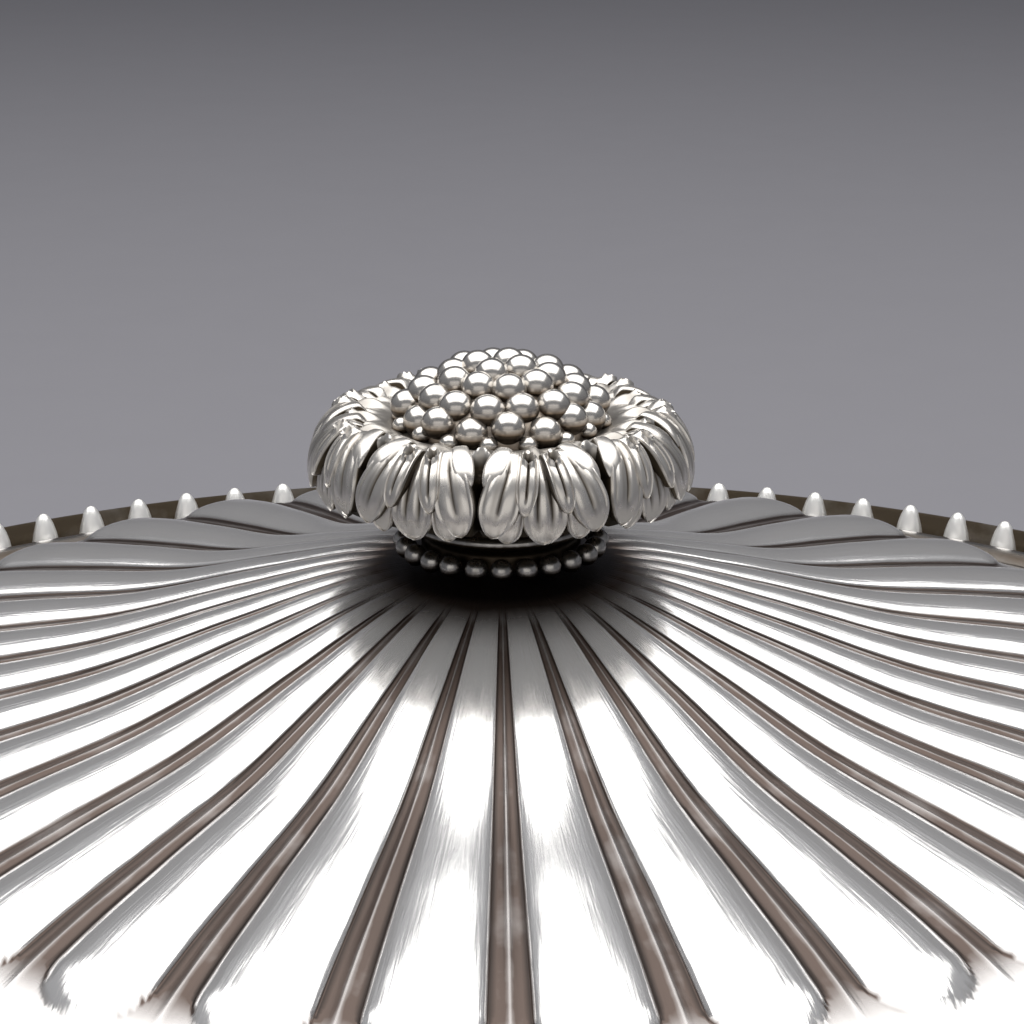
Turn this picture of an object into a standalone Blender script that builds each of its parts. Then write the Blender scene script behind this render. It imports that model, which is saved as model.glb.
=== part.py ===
"""Covered silver sugar bowl: lobed lid with a leaf and seed finial, two loop handles, a spool foot.

Metres, +Z up, origin in the middle of the face that the foot stands on.
"""

import math

import bmesh
import bpy
from mathutils import Matrix, Vector

# Driving dimensions
LEAF_RADIUS = 0.011  # outer radius of the finial's leaf collar; the lid is drawn in this unit
SEAT_Z = 0.088  # top of the bowl's wall, where the lid rests
LID_RISE = 0.0203  # from the seat to the middle of the lid
SHEET = 0.0011  # silver sheet of bowl, lid and foot
GAP = 0.0003  # between two pieces that touch
MOUTH_RADIUS = 0.0660  # outside of the bowl's wall at the seat
LID_LOBES = 32
LEAVES = 9
NECK_BEADS = 24
LOBE_START = 0.62 * LEAF_RADIUS
LOBE_END = 3.75 * LEAF_RADIUS
LOBE_RISE = 0.0005  # of a lobe's crest above the fillets beside it
LID_SHEET_RADIUS = 0.0642  # edge of the lid's sheet, inside the wire round it
STUD_RADIUS = 0.0015
WASHER_RADIUS = 0.0050
WASHER_DEPTH = 0.0009
HANDLE_ROD = 0.0031
LID_CENTRE_Z = SEAT_Z + LID_RISE

# Height of the lid below its middle against radius, both in leaf radii
LID_CURVE = (
    (0.0, 0.0),
    (0.7, 0.076),
    (1.4, 0.268),
    (2.1, 0.475),
    (2.8, 0.600),
    (3.4, 0.715),
    (3.9, 0.865),
    (4.7, 1.245),
    (5.9, 1.640),
)

# Outside of the bowl, radius and height, from the seat down to the middle of its floor
BOWL_CURVE = (
    (0.0660, 0.0880),
    (0.0660, 0.0825),
    (0.0656, 0.0770),
    (0.0666, 0.0700),
    (0.0676, 0.0620),
    (0.0656, 0.0530),
    (0.0596, 0.0430),
    (0.0490, 0.0345),
    (0.0340, 0.0288),
    (0.0180, 0.0262),
)
BOWL_FLOOR_Z = 0.0258


def silver(name, tone, roughness):
    """Principled material of one silver finish."""
    material = bpy.data.materials.new(name)
    material.use_nodes = True
    shader = material.node_tree.nodes["Principled BSDF"]
    shader.inputs["Base Color"].default_value = (tone[0], tone[1], tone[2], 1.0)
    shader.inputs["Metallic"].default_value = 1.0
    shader.inputs["Roughness"].default_value = roughness
    return material


def clear_scene():
    for obj in list(bpy.data.objects):
        bpy.data.objects.remove(obj, do_unlink=True)


def smooth_through(points, count):
    """Evenly stepped points on a smooth curve through the given (radius, height) points."""
    found = []
    spans = len(points) - 1
    for step in range(count):
        place = spans * step / (count - 1)
        index = min(int(place), spans - 1)
        t = place - index
        before = points[max(index - 1, 0)]
        start = points[index]
        end = points[index + 1]
        after = points[min(index + 2, spans)]
        point = []
        for axis in range(len(start)):
            a, b, c, d = before[axis], start[axis], end[axis], after[axis]
            cubic = (3 * b - a - 3 * c + d) * t ** 3 + (2 * a - 5 * b + 4 * c - d) * t ** 2 + (c - a) * t
            point.append(b + 0.5 * cubic)
        found.append(tuple(point))
    return found


def arc(centre, radius, start_deg, end_deg, steps):
    """Points on an arc in the radius and height plane, angles counted from outward, upwards."""
    found = []
    for step in range(steps + 1):
        angle = math.radians(start_deg + (end_deg - start_deg) * step / steps)
        found.append((centre[0] + radius * math.cos(angle), centre[1] + radius * math.sin(angle)))
    return found


def add_object(name, bm, material, smooth_deg=35.0):
    bmesh.ops.recalc_face_normals(bm, faces=bm.faces)
    mesh = bpy.data.meshes.new(name)
    bm.to_mesh(mesh)
    bm.free()
    mesh.materials.append(material)
    mesh.shade_smooth()
    mesh.set_sharp_from_angle(angle=math.radians(smooth_deg))
    obj = bpy.data.objects.new(name, mesh)
    bpy.context.scene.collection.objects.link(obj)
    return obj


def turned_mesh(outline, steps):
    """A closed outline of (radius, height) points turned once round Z."""
    bm = bmesh.new()
    rim = [bm.verts.new((radius, 0.0, height)) for radius, height in outline]
    for first, second in zip(rim, rim[1:] + rim[:1]):
        if first.co.x > 0.0 or second.co.x > 0.0:
            bm.edges.new((first, second))
    geometry = bm.verts[:] + bm.edges[:]
    bmesh.ops.spin(
        bm, geom=geometry, cent=(0, 0, 0), axis=(0, 0, 1), dvec=(0, 0, 0), angle=2 * math.pi, steps=steps,
        use_merge=True, use_duplicate=False,
    )
    bmesh.ops.remove_doubles(bm, verts=bm.verts, dist=1e-6)
    return bm


def turned(name, outline, material, steps=48):
    return add_object(name, turned_mesh(outline, steps), material)


def waves(vertex, count):
    """1 on the crest of each of count waves round Z, -1 in each hollow."""
    return math.cos(count * math.atan2(vertex.co.y, vertex.co.x))


def push_radius(vertex, amount):
    radius = math.hypot(vertex.co.x, vertex.co.y)
    if radius > 1e-6:
        vertex.co.x *= (radius + amount) / radius
        vertex.co.y *= (radius + amount) / radius


def lid_points(count):
    """Top of the lid, radius and height, from the middle out."""
    found = []
    for radius, drop in smooth_through(LID_CURVE, count):
        found.append((radius * LEAF_RADIUS, LID_CENTRE_Z - drop * LEAF_RADIUS))
    return found


def lid_height(radius):
    points = lid_points(60)
    for (r0, z0), (r1, z1) in zip(points, points[1:]):
        if r0 <= radius <= r1:
            return z0 + (z1 - z0) * (radius - r0) / (r1 - r0)
    return points[-1][1]


# The lid


def make_lid_dome(material):
    """Sheet dome with 32 long rounded lobes between narrow fillets, and a hole for the stud."""
    hole = STUD_RADIUS + GAP
    radii = [hole, LOBE_START, 1.1 * LEAF_RADIUS, 1.6 * LEAF_RADIUS, 2.1 * LEAF_RADIUS, 2.9 * LEAF_RADIUS]
    radii += [LOBE_END, 3.95 * LEAF_RADIUS, 4.3 * LEAF_RADIUS, 5.1 * LEAF_RADIUS, LID_SHEET_RADIUS]
    top = [(radius, lid_height(radius)) for radius in radii]
    below = [(radius, height - SHEET) for radius, height in top[::-2]]
    if below[-1][0] != hole:
        below.append((hole, top[0][1] - SHEET))
    bm = turned_mesh(top + below, LID_LOBES * 2)
    for vertex in bm.verts:
        radius = math.hypot(vertex.co.x, vertex.co.y)
        on_top = abs(vertex.co.z - lid_height(radius)) < 1e-5
        beside_lobes = LOBE_START + 1e-5 < radius < LOBE_END - 1e-5
        if on_top and beside_lobes and waves(vertex, LID_LOBES) > 0.0:
            vertex.co.z -= LOBE_RISE
    return add_object("lid_dome", bm, material, 20.0)


def make_lid_edge(material):
    """Half-round wire round the lid, which rests on the bowl's wall inside the rim border."""
    inner = LID_SHEET_RADIUS + GAP
    outer = MOUTH_RADIUS - GAP
    low = SEAT_Z + GAP
    top = lid_height(inner) + 0.0003
    outline = [(inner, low), (outer - 0.0002, low), (outer, low + 0.0006), (outer - 0.0001, top - 0.0006)]
    outline += [(outer - 0.0005, top), (inner, top)]
    return turned("lid_edge", outline, material)


def make_lid_bezel(material):
    """Upright flange that keeps the lid in the bowl's mouth."""
    outer = MOUTH_RADIUS - SHEET - 0.0007
    inner = outer - SHEET
    low = SEAT_Z - 0.0062
    outline = [(inner, low), (outer - 0.0002, low), (outer, low + 0.0004)]
    outline += [(outer, lid_height(outer) - SHEET - GAP), (inner, lid_height(inner) - SHEET - GAP)]
    return turned("lid_bezel", outline, material)


# The finial


def finial_point(radius, height):
    """Radius and height of a finial point given in leaf radii above the middle of the lid."""
    return (radius * LEAF_RADIUS, LID_CENTRE_Z + height * LEAF_RADIUS)


def make_neck_bead_ring(material):
    """Ring of small beads soldered to the lid round the neck."""
    centre = finial_point(0.495, 0.075)
    bead = 0.055 * LEAF_RADIUS
    outline = arc(centre, bead, -60, 240, 5)
    bm = turned_mesh(outline, NECK_BEADS * 2)
    for vertex in bm.verts:
        if waves(vertex, NECK_BEADS) < 0.0:
            radius = math.hypot(vertex.co.x, vertex.co.y)
            push_radius(vertex, (centre[0] - radius) * 0.35)
            vertex.co.z += (centre[1] - vertex.co.z) * 0.35
    return add_object("neck_bead_ring", bm, material)


def make_finial_neck(material):
    """Turned drum with a hollow waist between the lid and the leaves."""
    bore = STUD_RADIUS + GAP
    outline = [(bore, LID_CENTRE_Z + GAP)]
    outline += [finial_point(0.405, 0.020), finial_point(0.405, 0.110), finial_point(0.350, 0.150)]
    outline += [finial_point(0.340, 0.220), finial_point(0.390, 0.290), finial_point(0.390, 0.330)]
    outline += [(bore, finial_point(0, 0.330)[1])]
    return turned("finial_neck", outline, material, 28)


def make_neck_torus(material):
    """Thin round wire standing out round the drum."""
    outline = arc(finial_point(0.452, 0.190), 0.030 * LEAF_RADIUS, 0, 300, 5)
    return turned("neck_torus", outline, material, 28)


def make_leaf_collar(material):
    """Cast collar of nine curled leaves, open in the middle for the seeds."""
    outer = [(0.50, 0.700), (0.62, 0.755), (0.76, 0.755), (0.90, 0.670), (0.985, 0.520), (0.985, 0.400), (0.93, 0.330)]
    inner = [(0.84, 0.400), (0.80, 0.520), (0.66, 0.600), (0.46, 0.560)]
    outline = [finial_point(radius, height) for radius, height in outer + inner]
    bm = turned_mesh(outline, LEAVES * 4)
    for vertex in bm.verts:
        drop = (finial_point(0, 0.700)[1] - vertex.co.z) / LEAF_RADIUS
        if drop > 0.0:
            push_radius(vertex, 0.035 * LEAF_RADIUS * drop * waves(vertex, LEAVES))
    return add_object("leaf_collar", bm, material, 25.0)


def make_seed_cluster(material):
    """Cast dome covered with seeds, on a plug that the stud screws into."""
    radius = 0.525
    dome = [(radius * math.cos(a), 0.715 + 0.350 * math.sin(a)) for a in (0.0, 0.3, 0.62, 0.95, 1.26)]
    foot = [(0.0, 1.060)] + dome[::-1] + [(0.50, 0.700 + GAP / LEAF_RADIUS), (0.43, 0.640), (0.43, 0.360)]
    outline = [finial_point(*point) for point in foot] + [(STUD_RADIUS + GAP, finial_point(0, 0.360)[1])]
    outline += [(STUD_RADIUS + GAP, finial_point(0, 0.800)[1]), (0.0, finial_point(0, 0.800)[1])]
    bm = turned_mesh(outline, 24)
    base = finial_point(0, 0.720)[1]
    for vertex in bm.verts:
        if vertex.co.z > base and math.hypot(vertex.co.x, vertex.co.y) > 0.1 * LEAF_RADIUS:
            push_radius(vertex, 0.020 * LEAF_RADIUS * waves(vertex, 12))
    return add_object("seed_cluster", bm, material)


def make_finial_stud(material):
    """Threaded stud, drawn plain, from the seeds down through the lid."""
    top = finial_point(0, 0.760)[1]
    low = LID_CENTRE_Z - 0.0062
    outline = [(0.0, low), (STUD_RADIUS - 0.0003, low), (STUD_RADIUS, low + 0.0003)]
    outline += [(STUD_RADIUS, top), (0.0, top)]
    return turned("finial_stud", outline, material, 16)


def washer_low():
    """Underside of the washer, clear of the sheet that curves down round the stud."""
    return lid_height(WASHER_RADIUS) - SHEET - 2 * GAP - WASHER_DEPTH


def make_finial_washer(material):
    """Dished washer under the lid."""
    low = washer_low()
    bore = STUD_RADIUS + GAP
    edge = WASHER_RADIUS
    outline = [(bore, low), (edge - 0.0005, low), (edge, low + 0.0003), (edge - 0.0003, low + 0.0007)]
    outline += [(bore, low + WASHER_DEPTH)]
    return turned("finial_washer", outline, material, 20)


def make_finial_nut(material):
    """Six-sided nut that draws the finial down on the lid."""
    top = washer_low() - GAP
    bore = (STUD_RADIUS + GAP) / math.cos(math.pi / 6)
    outline = [(bore, top - 0.0022), (0.0032, top - 0.0022), (0.0032, top), (bore, top)]
    return turned("finial_nut", outline, material, 6)


# The bowl


def make_bowl_body(material):
    """Raised bowl, open at the top, with a flat ring of floor over the foot."""
    outer = smooth_through(BOWL_CURVE, 15)
    inner = [(radius - SHEET, max(height, BOWL_FLOOR_Z) + SHEET * lift) for radius, height, lift in inside_of(outer)]
    inner[0] = (MOUTH_RADIUS - SHEET, SEAT_Z)
    outline = [(0.0, BOWL_FLOOR_Z)] + outer[::-1] + inner + [(0.0, BOWL_FLOOR_Z + SHEET)]
    return turned("bowl_body", outline, material, 44)


def inside_of(outer):
    """Every other point of the outside, with the share of the sheet that it is lifted on the inside."""
    picked = outer[::2]
    found = []
    for index, (radius, height) in enumerate(picked):
        steep = index / (len(picked) - 1)
        found.append((radius, height, steep ** 2))
    return found


def make_rim_border(material):
    """Cast lobed border that stands up round the lid."""
    inner = MOUTH_RADIUS + GAP
    low = SEAT_Z - 0.0026
    outline = [(inner, low), (inner + 0.0010, low), (inner + 0.0024, low + 0.0012), (inner + 0.0028, low + 0.0030)]
    outline += [(inner + 0.0022, low + 0.0052), (inner + 0.0012, low + 0.0066), (inner, low + 0.0062)]
    return turned("rim_border", outline, material)


def make_belly_wire(material):
    """Applied half-round wire where the plain band meets the belly."""
    inner = 0.0667
    low = 0.0722
    outline = [(inner, low), (inner + 0.0010, low), (inner + 0.0016, low + 0.0008), (inner + 0.0016, low + 0.0018)]
    outline += [(inner + 0.0010, low + 0.0026), (inner, low + 0.0026)]
    return turned("belly_wire", outline, material)


def make_foot_bead_ring(material):
    """Bead ring between the bowl and the foot."""
    outline = arc((0.0162, 0.0237), 0.0016, 0, 300, 5)
    return turned("foot_bead_ring", outline, material, 32)


def make_foot_stem(material):
    """Hollow spool between the bowl's floor and the foot."""
    outline = [(0.0125, 0.0254), (0.0140, 0.0254), (0.0140, 0.0222), (0.0118, 0.0205), (0.0110, 0.0178)]
    outline += [(0.0122, 0.0150), (0.0145, 0.0136), (0.0128, 0.0136), (0.0108, 0.0150), (0.0096, 0.0178), (0.0104, 0.0212)]
    return turned("foot_stem", outline, material, 28)


def make_foot_dome(material):
    """Spreading sheet foot, hollow underneath."""
    top = [(0.0100, 0.0132), (0.0170, 0.0131), (0.0215, 0.0118), (0.0262, 0.0090), (0.0300, 0.0072), (0.0340, 0.0066)]
    top += [(0.0340, 0.0044)]
    below = [(0.0328, 0.0044), (0.0328, 0.0056), (0.0296, 0.0061), (0.0254, 0.0079), (0.0208, 0.0107), (0.0100, 0.0120)]
    return turned("foot_dome", top + below, material, 36)


def make_foot_border(material):
    """Lobed border round the foot."""
    outline = [(0.0343, 0.0044), (0.0378, 0.0044), (0.0385, 0.0052), (0.0382, 0.0066), (0.0370, 0.0076), (0.0354, 0.0080)]
    outline += [(0.0343, 0.0077)]
    bm = turned_mesh(outline, 72)
    for vertex in bm.verts:
        if waves(vertex, 36) < 0.0 and math.hypot(vertex.co.x, vertex.co.y) > 0.0360:
            push_radius(vertex, -0.0005)
    return add_object("foot_border", bm, material)


def make_base_ring(material):
    """Flat drawn wire that the bowl stands on."""
    outline = [(0.0318, 0.0), (0.0379, 0.0), (0.0385, 0.0006), (0.0385, 0.0035), (0.0379, 0.0041), (0.0318, 0.0041)]
    return turned("base_ring", outline, material, 40)


# The handles

UPPER_JOINT_Z = 0.0800
LOWER_JOINT_Z = 0.0470
JOINT_RADIUS = 0.0042
PLATE_GAP = 0.0010  # from the bowl's wall to the middle of a flat plate laid against it
PLATE_DEPTH = 0.0022
HANDLE_LOOP = (
    (0.0805, 0.0826),
    (0.0880, 0.0818),
    (0.0928, 0.0750),
    (0.0925, 0.0660),
    (0.0885, 0.0560),
    (0.0820, 0.0470),
    (0.0750, 0.0415),
)


def wall_at(height):
    """Point on the bowl's outside at this height, and the direction straight out of the wall there."""
    wall = smooth_through(BOWL_CURVE, 60)
    for upper, lower in zip(wall, wall[1:]):
        if lower[1] <= height <= upper[1]:
            share = (height - lower[1]) / (upper[1] - lower[1])
            radius = lower[0] + (upper[0] - lower[0]) * share
            along = Vector((upper[0] - lower[0], upper[1] - lower[1])).normalized()
            return Vector((radius, height)), Vector((along.y, -along.x))
    raise ValueError(f"the bowl's wall has no point at {height}")


def joint_point(height, distance):
    point, outward = wall_at(height)
    return tuple(point + outward * distance)


def make_handle(side, material):
    """Cast loop handle as one swept rod, on the +X side for side 1 and on the -X side for side -1."""
    name = "handle_right" if side > 0 else "handle_left"
    curve = bpy.data.curves.new(name, "CURVE")
    curve.dimensions = "3D"
    curve.bevel_depth = HANDLE_ROD
    curve.bevel_resolution = 2
    curve.use_fill_caps = True
    clear = PLATE_GAP + PLATE_DEPTH + 2 * GAP
    upper = [joint_point(UPPER_JOINT_Z, clear), joint_point(UPPER_JOINT_Z, clear + HANDLE_ROD)]
    lower = [joint_point(LOWER_JOINT_Z, clear + HANDLE_ROD), joint_point(LOWER_JOINT_Z, clear)]
    route = smooth_through([*upper, *HANDLE_LOOP, *lower], 24)
    spline = curve.splines.new("POLY")
    spline.points.add(len(route) - 1)
    for point, (out, height) in zip(spline.points, route):
        point.co = (side * out, 0.0, height, 1.0)
    curve.materials.append(material)
    obj = bpy.data.objects.new(name, curve)
    bpy.context.scene.collection.objects.link(obj)
    return obj


def make_handle_leaf(side, place, height, material):
    """Leaf plate between the bowl's wall and the handle's end, drawn as a low oval cushion."""
    side_name = "right" if side > 0 else "left"
    inner = joint_point(height, PLATE_GAP)
    outer = joint_point(height, PLATE_GAP + PLATE_DEPTH - GAP)
    start = Vector((side * inner[0], 0.0, inner[1]))
    end = Vector((side * outer[0], 0.0, outer[1]))
    along = (end - start).normalized()
    length = (end - start).length
    bm = bmesh.new()
    bmesh.ops.create_cone(
        bm, cap_ends=True, cap_tris=False, segments=16, radius1=JOINT_RADIUS, radius2=JOINT_RADIUS * 0.78, depth=length
    )
    turn = along.to_track_quat("Z", "Y").to_matrix().to_4x4()
    bmesh.ops.transform(bm, matrix=Matrix.Translation((start + end) / 2) @ turn, verts=bm.verts)
    return add_object(f"handle_leaf_{place}_{side_name}", bm, material)


def make_handles(material):
    for side in (1, -1):
        make_handle(side, material)
        make_handle_leaf(side, "upper", UPPER_JOINT_Z, material)
        make_handle_leaf(side, "lower", LOWER_JOINT_Z, material)


def main():
    clear_scene()
    polished = silver("polished_silver", (0.90, 0.89, 0.87), 0.16)
    cast = silver("cast_silver", (0.80, 0.78, 0.75), 0.26)
    inside = silver("inside_silver", (0.84, 0.82, 0.79), 0.34)
    make_lid_dome(polished)
    make_lid_edge(polished)
    make_lid_bezel(inside)
    make_neck_bead_ring(cast)
    make_finial_neck(cast)
    make_neck_torus(cast)
    make_leaf_collar(cast)
    make_seed_cluster(cast)
    make_finial_stud(inside)
    make_finial_washer(inside)
    make_finial_nut(inside)
    make_bowl_body(polished)
    make_rim_border(cast)
    make_belly_wire(polished)
    make_foot_bead_ring(cast)
    make_foot_stem(polished)
    make_foot_dome(polished)
    make_foot_border(cast)
    make_base_ring(polished)
    make_handles(cast)


main()
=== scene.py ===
"""Looks of a covered silver sugar bowl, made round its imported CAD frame. Metres, +Z up."""

import logging
import math
from dataclasses import dataclass, field, replace
from enum import Enum
from typing import Any, Sequence

import bmesh
import bpy
import numpy as np
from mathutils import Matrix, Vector


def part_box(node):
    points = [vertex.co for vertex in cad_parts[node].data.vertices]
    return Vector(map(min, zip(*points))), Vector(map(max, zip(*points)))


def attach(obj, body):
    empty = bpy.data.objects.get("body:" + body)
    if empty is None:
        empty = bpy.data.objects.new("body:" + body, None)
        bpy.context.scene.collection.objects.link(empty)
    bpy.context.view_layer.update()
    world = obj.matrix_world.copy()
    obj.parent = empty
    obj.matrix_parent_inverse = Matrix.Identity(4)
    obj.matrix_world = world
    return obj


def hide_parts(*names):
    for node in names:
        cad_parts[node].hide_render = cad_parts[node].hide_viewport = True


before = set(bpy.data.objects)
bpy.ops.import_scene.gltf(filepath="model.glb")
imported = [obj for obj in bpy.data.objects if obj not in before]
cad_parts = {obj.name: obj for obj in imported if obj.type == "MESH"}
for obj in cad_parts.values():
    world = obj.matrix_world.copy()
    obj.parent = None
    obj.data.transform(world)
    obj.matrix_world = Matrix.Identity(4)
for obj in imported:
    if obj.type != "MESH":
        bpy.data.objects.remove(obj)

LOG = logging.getLogger("sugar_bowl")
LEAF_UNIT = 0.011  # outer radius of the leaf collar, the unit that lid and finial are drawn in
NECK_LIFT = 0.020  # foot of the neck above the middle of the lid, in leaf units
SHEET = 0.0011
LEAVES = 9
LEAF_TURN = math.radians(-77.0)
LID_LOBES = 32
FILLET_TURN = math.radians(-90.0) + 0.0098
RIM_LOBES = 108
FOOT_LOBES = 36
FOOT_BEADS = 32
NECK_BEADS = 24
CREST = 0.95  # radius at which angles across a leaf are turned into lengths, in leaf units
PATCH_SCALE = 210.0  # of the cloudy noise
SPECKLE_SCALE = 2600.0  # of the pits
TARNISH_AND_SHADE = "tarnish"
WELD = 2e-6

Array = np.ndarray
Outline = Sequence[tuple[float, float]]


# ---------------------------------------------------------------- node graphs


@dataclass(frozen=True)
class Wire:
    """A node's output that takes part in arithmetic; each operation adds one Math node."""

    graph: "Graph"
    socket: bpy.types.NodeSocket

    def maths(self, operation: str, *values: "Wire | float") -> "Wire":
        """Math node of the given operation on the values."""
        return self.graph.node("ShaderNodeMath", {"operation": operation}, dict(enumerate(values)))

    def __add__(self, other: "Wire | float") -> "Wire":
        """Sum."""
        return self.maths("ADD", self, other)

    def __radd__(self, other: float) -> "Wire":
        """Sum, from the right."""
        return self.maths("ADD", other, self)

    def __sub__(self, other: "Wire | float") -> "Wire":
        """Difference."""
        return self.maths("SUBTRACT", self, other)

    def __rsub__(self, other: float) -> "Wire":
        """Difference, from the right."""
        return self.maths("SUBTRACT", other, self)

    def __mul__(self, other: "Wire | float") -> "Wire":
        """Product."""
        return self.maths("MULTIPLY", self, other)

    def __rmul__(self, other: float) -> "Wire":
        """Product, from the right."""
        return self.maths("MULTIPLY", other, self)

    def __truediv__(self, other: "Wire | float") -> "Wire":
        """Quotient."""
        return self.maths("DIVIDE", self, other)

    def clamped(self) -> "Wire":
        """The value kept between 0 and 1."""
        return self.graph.node("ShaderNodeClamp", {}, {0: self})


class Graph:
    """A shader or geometry node tree, built one node at a time."""

    def __init__(self, tree: bpy.types.NodeTree) -> None:
        """Wraps an empty tree."""
        self.tree = tree

    def node(
        self,
        kind: str,
        settings: dict[str, Any] | None = None,
        inputs: dict[int | str, Any] | None = None,
        output: int | str = 0,
    ) -> Wire:
        """Adds one node.

        Args:
            kind: the node's type.
            settings: its properties; "stops" holds a colour ramp's (place, grey level) pairs.
            inputs: values or wires for its sockets, by index or name.
            output: the output that is returned.

        Returns:
            The chosen output.
        """
        made = self.tree.nodes.new(kind)
        for name, value in (settings or {}).items():
            if name == "stops":
                for element, (place, level) in zip(made.color_ramp.elements, value):
                    element.position = place
                    element.color = (level, level, level, 1.0)
            else:
                setattr(made, name, value)
        for key, value in (inputs or {}).items():
            if isinstance(value, Wire):
                self.tree.links.new(value.socket, made.inputs[key])
            else:
                made.inputs[key].default_value = value
        return Wire(self, made.outputs[output])

    def mix_colour(self, share: Wire, first: Any, second: Any) -> Wire:
        """Colour between first, at share 0, and second, at share 1."""
        return self.node("ShaderNodeMix", {"data_type": "RGBA"}, {0: share, 6: first, 7: second}, output=2)

    def vector(self, operation: str, inputs: dict[int, Any], output: int = 0) -> Wire:
        """Vector Math node."""
        return self.node("ShaderNodeVectorMath", {"operation": operation}, inputs, output)


# ---------------------------------------------------------------- finishes


class Grain(Enum):
    """Which way the fine polishing lines run."""

    RADIAL = "radial"
    ROUND = "round"
    CLOUDY = "cloudy"


@dataclass(frozen=True)
class SilverFinish:
    """One finish of the silver: clean tone, tone of tarnish and painted shade, and the fine relief left by
    the work.
    """

    name: str
    tone: tuple[float, float, float]
    roughness: float
    tarnish_and_shade_tone: tuple[float, float, float] = (0.20, 0.155, 0.115)
    tarnish_roughness: float = 0.42
    metallic: float = 1.0
    film: float = 0.05  # tarnish that lies thinly everywhere
    cloud: float = 0.06  # how much the roughness varies in patches
    grain: Grain = Grain.CLOUDY
    grain_depth: float = 0.02
    pits: float = 0.04

    def grain_vector(self, graph: Graph, place: Wire) -> Wire:
        """Stretched coordinates for the polishing lines, centred on the object's axis.

        Args:
            graph: the shader's graph.
            place: object coordinates.

        Returns:
            Coordinates for a noise texture.
        """
        if self.grain is Grain.CLOUDY:
            return graph.vector("SCALE", {0: place, 3: 900.0})
        flat = graph.vector("MULTIPLY", {0: place, 1: (1.0, 1.0, 0.0)})
        radius = graph.vector("LENGTH", {0: flat}, output=1)
        round_scale, radial_scale = (150.0, 260.0) if self.grain is Grain.RADIAL else (6.0, 9000.0)
        turned = graph.vector("SCALE", {0: graph.vector("NORMALIZE", {0: flat}), 3: round_scale})
        along = graph.node("ShaderNodeCombineXYZ", {}, {2: radius * radial_scale})
        return graph.vector("ADD", {0: turned, 1: along})

    def make(self) -> bpy.types.Material:
        """Builds the material.

        Returns:
            A metallic Principled material whose colour, roughness and relief follow tarnish, painted shade
            and grain.
        """
        material = bpy.data.materials.new(self.name)
        material.use_nodes = True
        graph = Graph(material.node_tree)
        shader = material.node_tree.nodes["Principled BSDF"]
        place = graph.node("ShaderNodeTexCoord", output="Object")
        patches = graph.node("ShaderNodeTexNoise", {}, {"Vector": place, "Scale": PATCH_SCALE, "Detail": 4.0})
        fine = {"Vector": place, "Scale": SPECKLE_SCALE, "Detail": 2.0}
        speckle = graph.node("ShaderNodeTexNoise", {}, fine)
        grain = self.grain_vector(graph, place)
        lines = graph.node("ShaderNodeTexNoise", {}, {"Vector": grain, "Scale": 1.0})
        laid = graph.node("ShaderNodeAttribute", {"attribute_name": TARNISH_AND_SHADE}, output="Fac")
        # laid holds tarnish and painted shade; past 0.93 it goes near black, as in the painted shade round
        # the lid's neck
        mask = (laid * (0.70 + 0.75 * patches) + self.film * (0.4 + speckle)).clamped()
        deep = ((laid - 0.93) * 14.0).clamped() * (0.55 + 0.55 * patches).clamped()
        black = tuple(0.16 * level for level in self.tarnish_and_shade_tone)
        colour = graph.mix_colour(mask, (*self.tone, 1.0), (*self.tarnish_and_shade_tone, 1.0))
        colour = graph.mix_colour(deep, colour, (*black, 1.0))
        rough = self.roughness + mask * (self.tarnish_roughness - self.roughness)
        rough = rough + self.cloud * (patches - 0.5) + 0.5 * self.cloud * (lines - 0.5)
        height = self.grain_depth * lines + self.pits * speckle
        relief = graph.node("ShaderNodeBump", {}, {"Strength": 0.35, "Distance": 0.00012, "Height": height})
        shader.inputs["Metallic"].default_value = self.metallic
        for name, wire in (("Base Color", colour), ("Roughness", rough.clamped()), ("Normal", relief)):
            graph.tree.links.new(wire.socket, shader.inputs[name])
        return material


LOBED = SilverFinish("lobed_silver", (0.89, 0.88, 0.875), 0.15, (0.095, 0.069, 0.058), 0.33, 0.74, 0.05, 0.05,
                     Grain.RADIAL, 0.50, 0.02)
POLISHED = SilverFinish("polished_sheet", (0.90, 0.89, 0.875), 0.15, grain=Grain.ROUND, grain_depth=0.10,
                        pits=0.02)
CAST = SilverFinish("cast_silver", (0.82, 0.785, 0.74), 0.25, (0.085, 0.066, 0.045), 0.46, 0.88, 0.04, 0.10,
                    pits=0.10)
BEAD = SilverFinish("burnished_beads", (0.74, 0.715, 0.68), 0.19, (0.19, 0.145, 0.105), 0.40, 0.90,
                    0.06, 0.08, pits=0.04)
# neck finish: near-black tarnish laid thickly all over, partly tarnish and partly painted shade under the
# leaf collar
TURNED_CAST = SilverFinish("turned_neck", (0.80, 0.78, 0.75), 0.17, (0.045, 0.034, 0.024), 0.40, 1.0,
                           0.55, 0.06, Grain.ROUND, 0.12, 0.03)
RIM = SilverFinish("rim_lobes_silver", (0.93, 0.92, 0.90), 0.38, (0.17, 0.14, 0.10), 0.48, 0.66, 0.03, 0.06,
                   pits=0.06)
SATIN = SilverFinish("satin_inside", (0.84, 0.82, 0.79), 0.33, film=0.16, cloud=0.12, grain=Grain.ROUND,
                     grain_depth=0.25, pits=0.08)


# ---------------------------------------------------------------- meshes


def smooth_through(points: Outline, count: int) -> Array:
    """Points on a Catmull-Rom curve through the given ones.

    Args:
        points: the points the curve passes through.
        count: how many points to return.

    Returns:
        Array of count rows.
    """
    known = np.array(points, float)
    padded = np.vstack([known[:1], known, known[-1:]])
    place = np.linspace(0.0, len(known) - 1.0, count)
    index = np.minimum(place.astype(int), len(known) - 2)
    t = (place - index)[:, None]
    a, b, c, d = (padded[index + step] for step in range(4))
    bend = (3 * b - a - 3 * c + d) * t**3 + (2 * a - 5 * b + 4 * c - d) * t**2 + (c - a) * t
    return b + 0.5 * bend


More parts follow.
